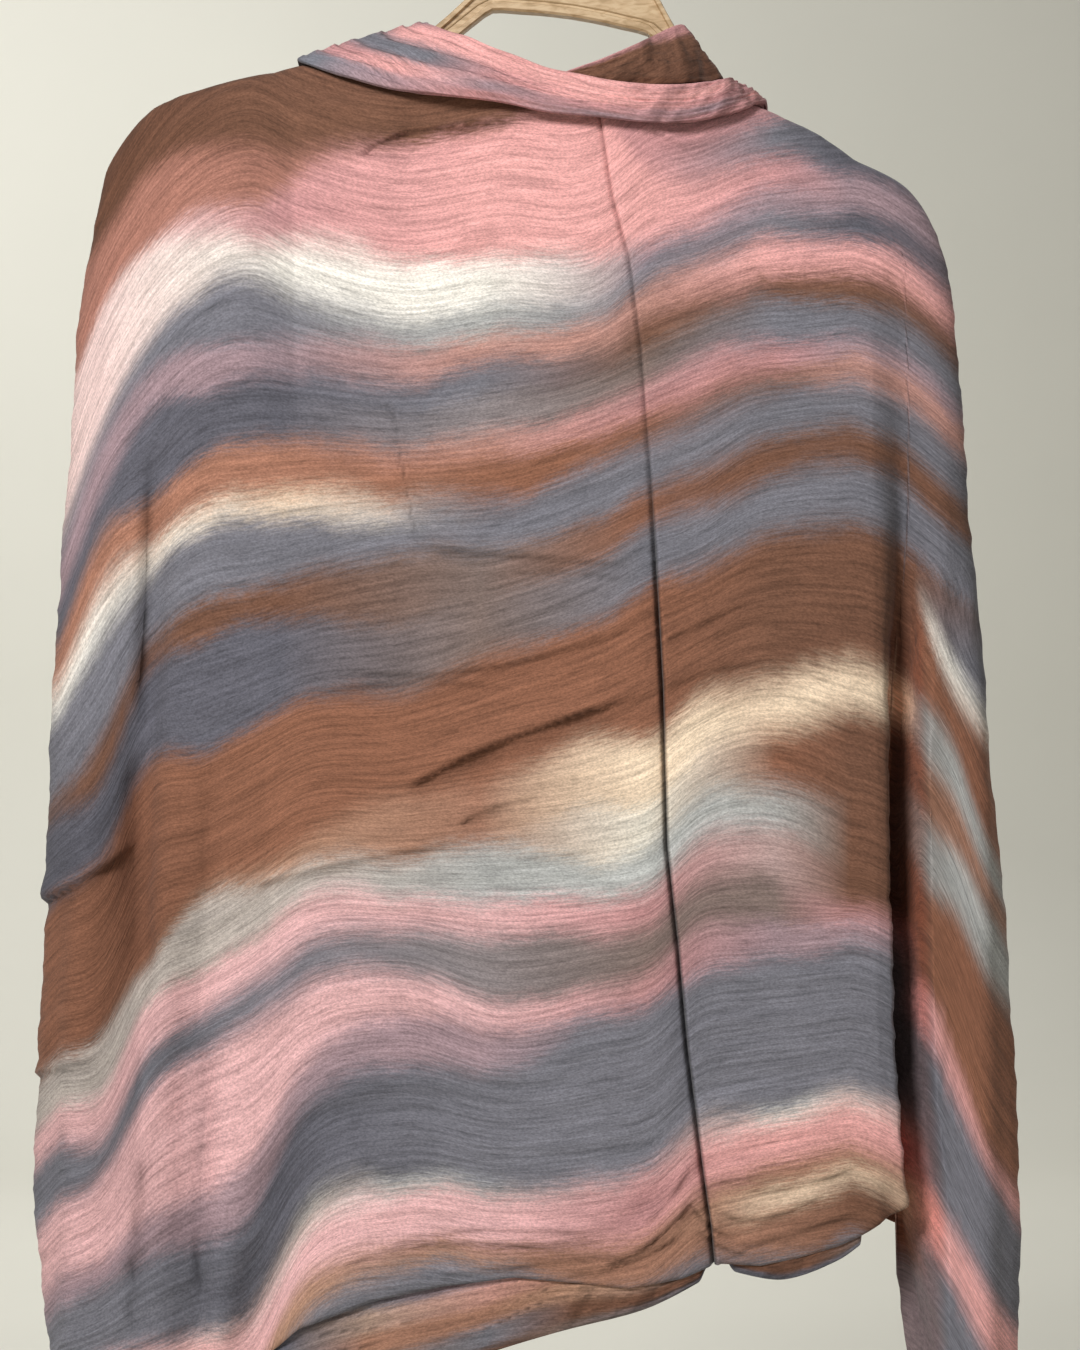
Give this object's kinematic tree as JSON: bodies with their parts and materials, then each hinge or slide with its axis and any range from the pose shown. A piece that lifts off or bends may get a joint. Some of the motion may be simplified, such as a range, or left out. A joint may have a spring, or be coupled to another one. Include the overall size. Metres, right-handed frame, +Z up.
{
  "type": "ruffled scarf on a hanger",
  "caption": "Large crinkled stole draped over a moulded contour hanger, its long edge rolled into a collar and its ends hanging behind.",
  "frame": {"origin": "where the hook bears on its rail: the top of the hook's bore, in the hanger's middle plane", "axes": "+X to the right seen from the front, +Y from the front to the back, +Z up. The hanger has swung 8.5 degrees clockwise on its hook, as it does in the picture"},
  "size_m": [0.5623, 0.1323, 0.9639],
  "materials": {
    "pink": "crinkled",
    "slate": "crinkled",
    "rust": "crinkled",
    "taupe": "crinkled",
    "tan_plastic": "mottled"
  },
  "bodies": {
    "root": {"front_left": "slate", "front_right": "rust", "left_fall": "rust", "left_behind": "rust", "right_fall": "slate", "right_behind": "slate", "collar": "pink", "neck_fold": "taupe", "hem_roll_left": "taupe", "hem_roll_right": "taupe", "hanger": "tan_plastic"}
  },
  "joints": []
}
